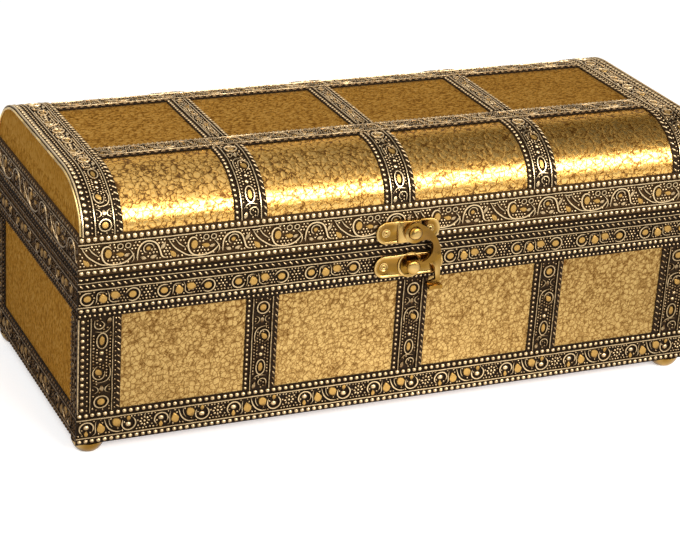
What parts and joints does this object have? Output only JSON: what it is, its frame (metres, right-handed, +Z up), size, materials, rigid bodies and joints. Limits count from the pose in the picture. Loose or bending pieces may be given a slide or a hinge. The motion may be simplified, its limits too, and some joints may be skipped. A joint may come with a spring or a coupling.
{
  "type": "treasure chest box",
  "caption": "Small hinged keepsake chest with a domed lid, clad in pebbled gold sheet and embossed dark bands, on domed feet, with a swing-hook latch.",
  "frame": {"origin": "on the ground under the middle of the chest's four walls", "axes": "+X along the length to the right seen from the front, -Y out of the front with the latch, +Z up"},
  "size_m": [0.254, 0.1156, 0.1032],
  "materials": {
    "gold_sheet": "pebbled gold-coloured sheet",
    "end_sheet": "darkened gold-coloured sheet",
    "bands": "embossed and oxidised, relief rubbed bright",
    "latch": "bright plated",
    "feet": "bright plated",
    "hinges": "satin",
    "pins": "plain",
    "screws": "satin",
    "carcass": "stained softwood",
    "lining": "short-pile velvet"
  },
  "bodies": {
    "base": {"back_board": "carcass", "back_pilaster_left": "bands", "back_pilaster_middle": "bands", "back_pilaster_right": "bands", "back_sheet": "gold_sheet", "base_rim_band": "bands", "bottom_band": "bands", "corner_strip_back_left": "bands", "corner_strip_back_right": "bands", "corner_strip_front_left": "bands", "corner_strip_front_right": "bands", "feet": "feet", "floor_board": "carcass", "floor_lining": "lining", "front_board": "carcass", "front_pilaster_left": "bands", "front_pilaster_middle": "bands", "front_pilaster_right": "bands", "front_sheet": "gold_sheet", "hinge_left_lower_leaf": "hinges", "hinge_pins": "pins", "hinge_right_lower_leaf": "hinges", "keeper_nails": "latch", "keeper_plate": "latch", "keeper_post": "latch", "left_board": "carcass", "left_sheet": "end_sheet", "lower_hinge_screws": "screws", "right_board": "carcass", "right_sheet": "end_sheet", "wall_lining": "lining"},
    "lid": {"back_curve_strips": "bands", "back_long_band": "bands", "dome_sheet": "gold_sheet", "front_curve_strip_left": "bands", "front_curve_strip_middle": "bands", "front_curve_strip_right": "bands", "front_long_band": "bands", "hinge_left_upper_leaf": "hinges", "hinge_right_upper_leaf": "hinges", "latch_nails": "latch", "latch_plate": "latch", "latch_rivet": "latch", "left_end_band": "bands", "lid_back_rail": "carcass", "lid_back_shoulder": "carcass", "lid_front_rail": "carcass", "lid_front_shoulder": "carcass", "lid_left_end": "carcass", "lid_left_sheet": "end_sheet", "lid_lining": "lining", "lid_right_end": "carcass", "lid_right_sheet": "end_sheet", "lid_rim_band": "bands", "lid_top_board": "carcass", "right_end_band": "bands", "top_strips": "bands", "upper_hinge_screws": "screws"},
    "hook": {"latch_hook": "latch"}
  },
  "joints": [
    {"name": "lid_hinge", "type": "hinge", "parent": "base", "child": "lid", "pos_m": [0, 0.0552, 0.0694], "axis": [-1, 0, 0], "range_deg": [0, 100]},
    {"name": "hook_swing", "type": "hinge", "parent": "lid", "child": "hook", "pos_m": [0, -0.0553, 0.0736], "axis": [0, -1, 0], "range_deg": [0, 120]}
  ]
}
